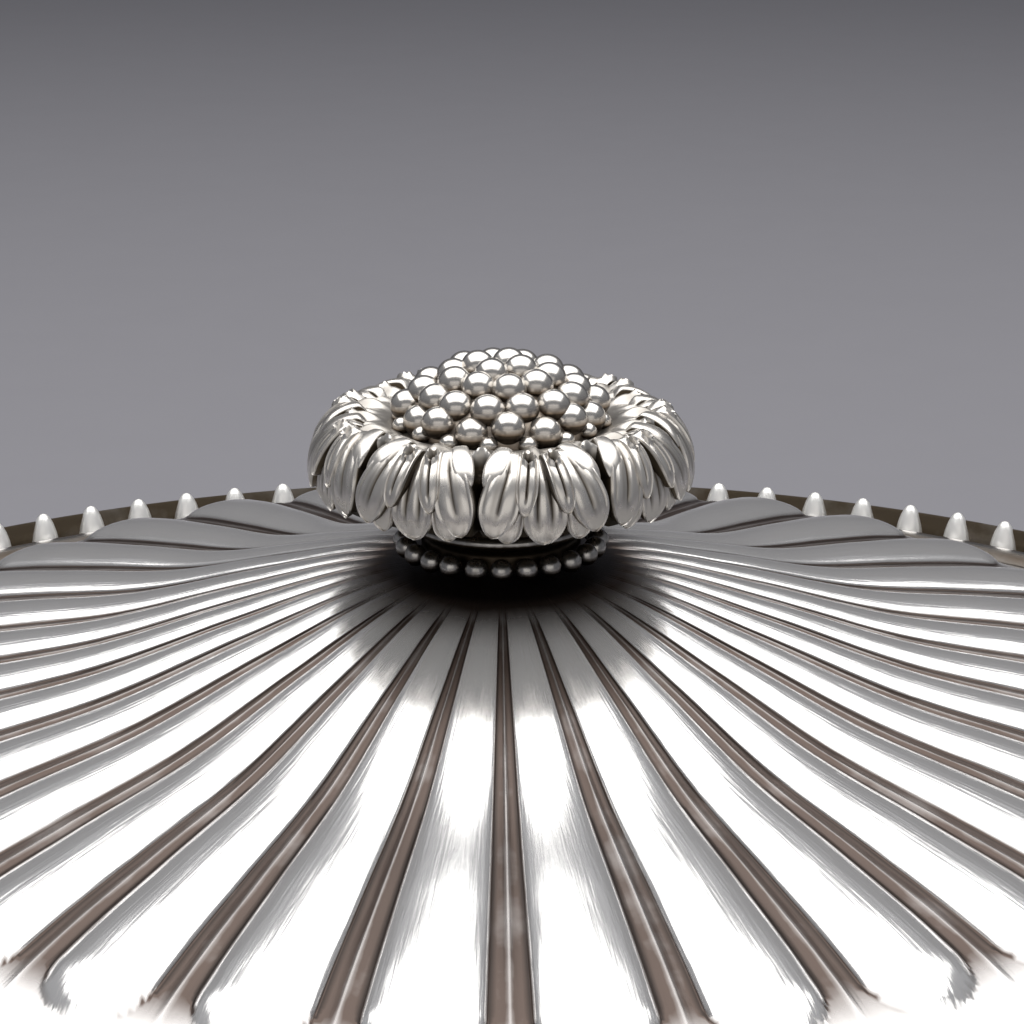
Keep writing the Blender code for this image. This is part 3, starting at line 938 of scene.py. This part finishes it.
    def build(self, finishes: dict[str, bpy.types.Material]) -> None:
        """Makes and fits the finial's pieces."""
        fit = self.fitter.fit
        fit(self.collar(finishes["cast"]), "cast_silver", "leaf_collar")
        fit(self.seeds(finishes["bead"]), "cast_silver", "seed_cluster")
        fit(self.seed_dome(finishes["bead"]), "cast_silver")
        fit(self.neck(finishes["neck"]), "cast_silver", "finial_neck")
        torus = wire_ring("neck_wire", SIZES.finial([(0.452, 0.190)])[0], 0.030 * LEAF_UNIT, finishes["neck"])
        fit(torus, "cast_silver", "neck_torus")
        fit(self.bead_ring(finishes["neck"]), "cast_silver", "neck_bead_ring")
        self.fastenings(finishes["satin"])


def blob(width: float, depth: float, height: float, taper: float, rows: int, columns: int) -> Patch:
    """Rounded closed lobe standing on the origin plane, its depth along X, its width along Y.

    Args:
        width: across, at the foot.
        depth: front to back, at the foot.
        height: total.
        taper: share of the foot's size that is left near the top.
        rows: rows from foot to top.
        columns: columns round.

    Returns:
        The patch, centred on the Z axis.
    """
    t = np.sin(np.linspace(0.0, 0.5 * math.pi, rows))
    closing = np.clip((t - 0.55) / 0.45, 0, 1) ** 3.0
    size = (1.0 - (1.0 - taper) * t) * np.sqrt(np.clip(1.0 - closing, 0.0, 1.0))
    angle = np.linspace(0.0, 2.0 * math.pi, columns, endpoint=False)
    x = 0.5 * depth * size[:, None] * np.cos(angle)[None]
    y = 0.5 * width * size[:, None] * np.sin(angle)[None]
    z = np.repeat(height * t[:, None], columns, axis=1)
    stain_and_shade = np.repeat(0.9 * (1.0 - step_up(t, 0.0, 0.35))[:, None], columns, axis=1)
    patch = Patch.grid(np.stack([x, y, z], axis=-1), stain_and_shade, wrap_columns=True)
    return patch.joined(Patch(patch.points[:columns].copy(), [tuple(range(columns))], np.ones(columns)))


def bead_circle(name: str, centre: tuple[float, float], radius: float, count: int,
                material: bpy.types.Material) -> bpy.types.Object:
    """Round beads set in a ring round Z, their lower halves darkened as painted shade.

    Args:
        name: the object's name.
        centre: radius and height of the beads' middles.
        radius: each bead's.
        count: how many.
        material: their material.

    Returns:
        The object.
    """
    t = np.linspace(0.0, math.pi, 11)
    angle = np.linspace(0.0, 2.0 * math.pi, 16, endpoint=False)
    x = radius * np.sin(t)[:, None] * np.cos(angle) + centre[0]
    y = radius * np.sin(t)[:, None] * np.sin(angle)
    z = np.repeat((centre[1] + radius * np.cos(t))[:, None], 16, axis=1)
    # painted shade: each bead darkened on its lower half
    stain_and_shade = np.repeat(step_up(-np.cos(t), 0.05, 0.8)[:, None], 16, axis=1) * 0.9
    piece = Patch.grid(np.stack([x, y, z], axis=-1), stain_and_shade, wrap_columns=True).build(name, material)
    return RingOf(count, -0.5 * math.pi, 0.010).apply(piece, material)


# ---------------------------------------------------------------- the bowl


@dataclass
class Bowl:
    """Raised body with a fluted belly, its wire and its lobed rim."""

    outside: Outline = ((0.0660, 0.0880), (0.0660, 0.0825), (0.0656, 0.0770), (0.0666, 0.0700),
                        (0.0676, 0.0620), (0.0656, 0.0530), (0.0596, 0.0430), (0.0490, 0.0345),
                        (0.0340, 0.0288), (0.0180, 0.0262))
    flute_depth: float = 0.0009
    rim_gap: float = 0.0021  # from the lid's sheet to the border
    fitter: Fitter = field(default_factory=lambda: Fitter("bowl"))

    def body(self, material: bpy.types.Material) -> bpy.types.Object:
        """Body made as one flute's sector and set round the axis."""
        outer = smooth_through(self.outside, 64)
        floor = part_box("bowl_body")[0].z
        outer = np.vstack([outer, [(0.0158, floor), (0.0, floor)]])
        slope = np.gradient(outer, axis=0)
        slope /= np.linalg.norm(slope, axis=1, keepdims=True)
        normal = np.stack([-slope[:, 1], slope[:, 0]], axis=-1)
        inner = (outer - normal * SHEET)[::-3]
        inner[0] = (0.0, floor + SHEET)
        inner[-1] = (outer[0, 0] - SHEET, outer[0, 1])
        across = np.linspace(-1.0, 1.0, 13)
        count = len(outer)
        loop = np.vstack([outer, inner])
        radius, place = np.meshgrid(loop[:, 0], across, indexing="ij")
        height = np.repeat(loop[:, 1:2], len(across), axis=1)
        in_belly = step_up(-height, -0.0705, -0.0660) * step_up(height, 0.0290, 0.0340)
        outside = (np.arange(len(loop)) < count)[:, None]
        scoop = np.clip(1.0 - np.abs(place / 0.82) ** 2.2, 0.0, 1.0) ** 0.8 * in_belly * outside
        push = np.zeros_like(loop)
        push[:count] = normal
        radius = radius - push[:, 0:1] * self.flute_depth * scoop
        height = height - push[:, 1:2] * self.flute_depth * scoop
        stain_and_shade = np.where(outside, 0.75 * step_up(np.abs(place), 0.78, 0.90) * in_belly, 0.12)
        sector = Patch.grid(polar(radius, place * math.pi / LID_LOBES, height), stain_and_shade, wrap_rows=True)
        piece = sector.build("bowl_body_shell", material, closed=False)
        return RingOf(LID_LOBES, FILLET_TURN + math.pi / LID_LOBES).apply(piece, material)

    def rim_lobes(self, material: bpy.types.Material) -> bpy.types.Object:
        """Cast lobes of the border."""
        low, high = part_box("rim_border")
        inner, outer = SIZES.sheet_radius + self.rim_gap, high.x
        depth = outer - inner
        lobe = blob(0.0034, depth * 1.10, high.z - low.z - 0.0002, 0.50, 10, 12)
        lobe.points = lobe.points + (outer - 0.55 * depth, 0.0, low.z + 0.0002)
        piece = lobe.build("rim_lobes", material)
        return RingOf(RIM_LOBES, 0.5 * math.pi + math.pi / RIM_LOBES).apply(piece, material)

    def rim_band(self, material: bpy.types.Material) -> bpy.types.Object:
        """Rolled band that carries the lobes."""
        low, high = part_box("rim_border")
        inner = SIZES.sheet_radius + self.rim_gap
        outer = high.x
        wall = high.z - 0.0006
        loop = [(inner, low.z), (inner + 0.0010, low.z), (outer - 0.0006, low.z + 0.0008)]
        loop += arc((outer - 0.0012, low.z + 0.0024), 0.0010, -20.0, 80.0, 5)
        loop += [(outer - 0.0011, low.z + 0.0036), (outer - 0.0011, wall - 0.0002), (outer - 0.0013, wall)]
        loop += [(inner + 0.0013, wall), (inner + 0.0012, wall - 0.0002), (inner + 0.0011, low.z + 0.0024)]
        loop += [(inner, low.z + 0.0018)]
        # band darker underneath and on its wall behind and between the lobes, lighter on the rolled outer
        # edge
        return turned("rim_band", loop, material, 240, [0.8, 0.7, 0.5] + [0.3] * 6 + [0.9] * 7)

    def wire(self, material: bpy.types.Material) -> bpy.types.Object:
        """Half-round wire over the belly."""
        low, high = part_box("belly_wire")
        inner = high.x - 0.0016
        middle = 0.5 * (low.z + high.z)
        half = 0.5 * (high.z - low.z)
        loop = [(inner, low.z), (inner + 0.0003, low.z)] + arc((high.x - half, middle), half, -75.0, 75.0, 10)
        loop += [(inner + 0.0003, high.z), (inner, high.z)]
        return turned("belly_wire_ring", loop, material, 240, [0.9, 0.8] + [0.1] * 11 + [0.8, 0.9])

    def build(self, finishes: dict[str, bpy.types.Material]) -> None:
        """Makes and fits the bowl's pieces."""
        fit = self.fitter.fit
        fit(self.body(finishes["polished"]), "polished_silver", "bowl_body")
        fit(self.rim_band(finishes["cast"]), "cast_silver", "rim_border")
        fit(self.rim_lobes(finishes["rim"]), "cast_silver")
        fit(self.wire(finishes["polished"]), "polished_silver", "belly_wire")


@dataclass
class Foot:
    """Spool, bead ring, spreading foot, lobed border and base wire."""

    fitter: Fitter = field(default_factory=lambda: Fitter("bowl"))

    def stem(self, material: bpy.types.Material) -> bpy.types.Object:
        """Hollow spool."""
        outer = smooth_through(((0.0140, 0.0254), (0.0140, 0.0222), (0.0118, 0.0205), (0.0110, 0.0178),
                                (0.0122, 0.0150), (0.0145, 0.0136)), 30)
        inner = smooth_through(((0.0128, 0.0136), (0.0108, 0.0150), (0.0096, 0.0178), (0.0104, 0.0212),
                                (0.0125, 0.0254)), 16)
        loop = [tuple(point) for point in np.vstack([outer, inner])]
        stain_and_shade = [0.5, 0.4, 0.3] + [0.08] * 24 + [0.3, 0.4, 0.5] + [0.4] * 16
        return turned("foot_stem_spool", loop, material, 128, stain_and_shade)

    def dome(self, material: bpy.types.Material) -> bpy.types.Object:
        """Spreading sheet foot."""
        top = smooth_through(((0.0100, 0.0132), (0.0170, 0.0131), (0.0215, 0.0118), (0.0262, 0.0090),
                              (0.0300, 0.0072), (0.0340, 0.0066)), 40)
        below = smooth_through(((0.0328, 0.0056), (0.0296, 0.0061), (0.0254, 0.0079), (0.0208, 0.0107),
                                (0.0100, 0.0120)), 24)
        loop = [tuple(point) for point in top] + [(0.0340, 0.0044), (0.0328, 0.0044)]
        loop += [tuple(point) for point in below]
        stain_and_shade = [0.5] * 6 + [0.08] * 30 + [0.5] * 4 + [0.6] * 2 + [0.45] * 24
        return turned("foot_dome_sheet", loop, material, 192, stain_and_shade)

    def border_lobes(self, material: bpy.types.Material) -> bpy.types.Object:
        """Lobes round the foot's edge."""
        low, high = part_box("foot_border")
        lobe = blob(0.0052, 0.0038, high.z - low.z - 0.0004, 0.72, 10, 14)
        lobe.points = lobe.points + (high.x - 0.0019, 0.0, low.z + 0.0003)
        piece = lobe.build("foot_lobes", material)
        return RingOf(FOOT_LOBES, 0.5 * math.pi).apply(piece, material)

    def border_band(self, material: bpy.types.Material) -> bpy.types.Object:
        """Band that carries the foot's lobes."""
        low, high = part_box("foot_border")
        inner = high.x - 0.0042
        loop = [(inner, low.z), (high.x - 0.0006, low.z), (high.x - 0.0003, low.z + 0.0004)]
        loop += [(high.x - 0.0006, low.z + 0.0009), (inner + 0.0010, low.z + 0.0019), (inner, low.z + 0.0020)]
        return turned("foot_border_band", loop, material, 192, [0.8, 0.5, 0.2, 0.6, 0.9, 0.9])

    def base(self, material: bpy.types.Material) -> bpy.types.Object:
        """Drawn wire that the bowl stands on."""
        low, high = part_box("base_ring")
        inner = 0.0318
        edge = 0.0005
        loop = [(inner, low.z + edge), (inner + edge, low.z), (high.x - edge, low.z), (high.x, low.z + edge)]
        loop += arc((high.x - 0.0009, high.z - 0.0009), 0.0009, 0.0, 90.0, 6)
        loop += [(inner + edge, high.z), (inner, high.z - edge)]
        stain_and_shade = [0.5, 0.4, 0.2, 0.1] + [0.05] * 6 + [0.5, 0.7, 0.7]
        return turned("base_wire", loop, material, 192, stain_and_shade)

    def build(self, finishes: dict[str, bpy.types.Material]) -> None:
        """Makes and fits the foot's pieces."""
        fit = self.fitter.fit
        fit(self.stem(finishes["polished"]), "polished_silver", "foot_stem")
        beads = bead_circle("foot_beads", (0.0162, 0.0237), 0.00158, FOOT_BEADS, finishes["cast"])
        fit(beads, "cast_silver", "foot_bead_ring")
        fit(self.dome(finishes["polished"]), "polished_silver", "foot_dome")
        fit(self.border_band(finishes["cast"]), "cast_silver", "foot_border")
        fit(self.border_lobes(finishes["cast"]), "cast_silver")
        fit(self.base(finishes["polished"]), "polished_silver", "base_ring")


class Side(Enum):
    """The two handles."""

    RIGHT = 1
    LEFT = -1


@dataclass
class Handles:
    """Reeded loop handles and the leaf plates that they end on."""

    rod: float = 0.0031
    plate_back: float = -0.0013  # flat back of a plate, behind its middle
    loop: Outline = ((0.0688, 0.0798), (0.0723, 0.0797), (0.0805, 0.0826), (0.0880, 0.0818), (0.0928, 0.0750),
                     (0.0925, 0.0660), (0.0885, 0.0560), (0.0820, 0.0470), (0.0750, 0.0415), (0.0678, 0.0437),
                     (0.0648, 0.0455))
    fitter: Fitter = field(default_factory=lambda: Fitter("bowl"))

    def rod_mesh(self, side: Side, material: bpy.types.Material) -> bpy.types.Object:
        """Reeded rod swept along the loop, with a collar near each end."""
        name = f"handle_{side.name.lower()}_rod"
        line = smooth_through(self.loop, 150)
        along = np.gradient(line, axis=0)
        along /= np.linalg.norm(along, axis=1, keepdims=True)
        out = np.stack([-along[:, 1], along[:, 0]], axis=-1)
        t = np.linspace(0.0, 1.0, len(line))[:, None]
        angle = np.linspace(0.0, 2.0 * math.pi, 48, endpoint=False)[None]
        slim = 0.72 + 0.20 * np.sin(math.pi * t) ** 2
        collars = 0.20 * (bump_at(t, 0.12, 0.016) + bump_at(t, 0.88, 0.016)) + 0.10 * bump_at(t, 0.155, 0.008)
        reed_zone = step_up(t, 0.16, 0.22) * (1.0 - step_up(t, 0.78, 0.84))
        reeds = 0.055 * np.abs(np.sin(3.0 * angle)) * reed_zone
        radius = self.rod * np.minimum(slim + collars - 0.04 + reeds, 0.995)
        between = 0.85 * (1.0 - np.abs(np.sin(3.0 * angle)) ** 0.35) * reed_zone
        stain_and_shade = np.clip(between + 0.5 * bump_at(t, 0.10, 0.01), 0.0, 1.0)
        x = line[:, 0:1] + out[:, 0:1] * radius * np.cos(angle)
        z = line[:, 1:2] + out[:, 1:2] * radius * np.cos(angle)
        y = radius * np.sin(angle)
        grid = np.stack([side.value * x, y, z], axis=-1)
        patch = Patch.grid(grid, stain_and_shade, wrap_columns=True)
        for row in (0, -1):
            patch = patch.joined(Patch(grid[row].copy(), [tuple(range(48))], np.ones(48)))
        return patch.build(name, material)

    def plate(self, side: Side, where: str, material: bpy.types.Material) -> bpy.types.Object:
        """Round leaf plate under one end of a handle, with petals raised on it."""
        low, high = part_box(f"handle_leaf_{where}_{side.name.lower()}")
        upper = where == "upper"
        wall, out = ((0.06575, 0.0800), (1.0, 0.06)) if upper else ((0.0621, 0.0470), (0.858, -0.515))
        out_vector = Vector((side.value * out[0], 0.0, out[1])).normalized()
        centre = Vector((side.value * wall[0], 0.0, wall[1])) + out_vector * 0.0010
        size = 0.5 * (high.y - low.y)
        angle = np.linspace(0.0, 2.0 * math.pi, 112, endpoint=False)[None]
        share = np.concatenate([[0.0], np.linspace(0.25, 1.0, 14), [0.96, 0.5, 0.0]])[:, None]
        petals = np.abs(np.cos(3.5 * angle))
        reach = size * share * (0.88 + 0.12 * petals**0.7 * step_up(share, 0.3, 1.0))
        top = 0.0019 - 0.0011 * share**2 + 0.00025 * petals * bump_at(share, 0.7, 0.3)
        flat = np.arange(len(share))[:, None] >= 15
        depth = np.where(flat, self.plate_back, top)
        stain_and_shade = np.where(flat, 0.8, 0.85 * (1.0 - petals**0.4) * step_up(share, 0.3, 0.5))
        across = out_vector.cross(Vector((0.0, 1.0, 0.0)))
        axes = np.array([tuple(Vector((0.0, 1.0, 0.0))), tuple(across), tuple(out_vector)])
        local = np.stack([reach * np.cos(angle), reach * np.sin(angle), depth], axis=-1)
        points = local @ axes + np.array(tuple(centre))
        name = f"handle_plate_{where}_{side.name.lower()}"
        return Patch.grid(points, stain_and_shade, wrap_columns=True).build(name, material)

    def build(self, finishes: dict[str, bpy.types.Material]) -> None:
        """Makes and fits both handles."""
        for side in Side:
            name = side.name.lower()
            self.fitter.fit(self.rod_mesh(side, finishes["cast"]), "cast_silver", f"handle_{name}")
            for where in ("upper", "lower"):
                plate = self.plate(side, where, finishes["cast"])
                self.fitter.fit(plate, "cast_silver", f"handle_leaf_{where}_{name}")


# ---------------------------------------------------------------- studio


@dataclass(frozen=True)
class Softbox:
    """One rectangular lamp."""

    name: str
    place: tuple[float, float, float]
    target: tuple[float, float, float]
    width: float
    depth: float
    power: float
    tone: tuple[float, float, float] = (1.0, 0.99, 0.97)

    def make(self) -> None:
        """Adds the lamp to the scene."""
        light = bpy.data.lights.new(self.name, "AREA")
        light.shape = "RECTANGLE"
        light.size = self.width
        light.size_y = self.depth
        light.energy = self.power
        light.color = self.tone
        lamp = bpy.data.objects.new(self.name, light)
        lamp.location = self.place
        aim = Vector(self.target) - Vector(self.place)
        lamp.rotation_euler = aim.to_track_quat("-Z", "Y").to_euler()
        bpy.context.scene.collection.objects.link(lamp)


@dataclass
class Studio:
    """Pale floor, soft light and the camera."""

    floor_tone: tuple[float, float, float] = (0.252, 0.248, 0.272)
    lens: float = 99.4
    eye: tuple[float, float, float] = (0.0, -0.15107, 0.15947)
    pitch: float = 72.095
    yaw: float = -0.0041

    def floor(self) -> None:
        """Plain floor that sweeps up behind the object."""
        bend, depth = 0.7, 1.6
        rows = [(-depth, 0.0)]
        rows += [(depth + bend * math.sin(a), bend - bend * math.cos(a)) for a in np.linspace(0, 1.5, 14)]
        rows += [(2.3, 1.6)]
        mesh = bpy.data.meshes.new("studio_floor")
        points = [(x, y, z) for y, z in rows for x in (-2.6, 2.6)]
        faces = [(2 * i, 2 * i + 1, 2 * i + 3, 2 * i + 2) for i in range(len(rows) - 1)]
        mesh.from_pydata(points, [], faces)
        mesh.shade_smooth()
        material = bpy.data.materials.new("studio_paper")
        material.use_nodes = True
        graph = Graph(material.node_tree)
        shader = material.node_tree.nodes["Principled BSDF"]
        place = graph.node("ShaderNodeTexCoord", output="Object")
        fibre = graph.node("ShaderNodeTexNoise", {}, {"Vector": place, "Scale": 60.0, "Detail": 3.0})
        lighter = tuple(min(1.0, level * 1.04) for level in self.floor_tone)
        colour = graph.mix_colour(fibre, (*self.floor_tone, 1.0), (*lighter, 1.0))
        graph.tree.links.new(colour.socket, shader.inputs["Base Color"])
        shader.inputs["Roughness"].default_value = 0.85
        mesh.materials.append(material)
        floor = bpy.data.objects.new("studio_floor", mesh)
        bpy.context.scene.collection.objects.link(floor)

    def camera(self) -> None:
        """Camera at its viewing angle."""
        data = bpy.data.cameras.new("camera")
        data.lens = self.lens
        data.sensor_width = 36.0
        data.clip_start = 0.01
        camera = bpy.data.objects.new("camera", data)
        camera.location = self.eye
        camera.rotation_euler = (math.radians(self.pitch), 0.0, self.yaw)
        bpy.context.scene.collection.objects.link(camera)
        bpy.context.scene.camera = camera

    def lights(self) -> None:
        """Large overhead softbox, a weaker front fill, and a dim room."""
        centre = (0.0, 0.0, 0.1)
        for box in (
            Softbox("overhead_softbox", (0.0, 0.13, 0.72), (0.0, 0.13, 0.0), 1.30, 0.98, 8.8),
            Softbox("front_fill", (0.0, -1.1, 0.30), centre, 1.5, 0.8, 2.2, (1.0, 0.96, 0.90)),
        ):
            box.make()
        world = bpy.data.worlds.new("room")
        world.use_nodes = True
        world.node_tree.nodes["Background"].inputs[0].default_value = (0.19, 0.195, 0.21, 1.0)
        bpy.context.scene.world = world
        bpy.context.scene.view_settings.view_transform = "Standard"

    def build(self) -> None:
        """Sets up the whole studio."""
        self.camera()
        self.floor()
        self.lights()


def main() -> None:
    """Builds every sub-assembly in order."""
    logging.basicConfig(level=logging.INFO, format="%(name)s %(message)s")
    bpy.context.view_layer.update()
    finishes = {
        "lobed": LOBED.make(),
        "polished": POLISHED.make(),
        "cast": CAST.make(),
        "bead": BEAD.make(),
        "neck": TURNED_CAST.make(),
        "rim": RIM.make(),
        "satin": SATIN.make(),
    }
    Studio().build()
    for assembly in (Lid(), Finial(), Bowl(), Foot(), Handles()):
        assembly.build(finishes)


if __name__ == "__main__":
    main()
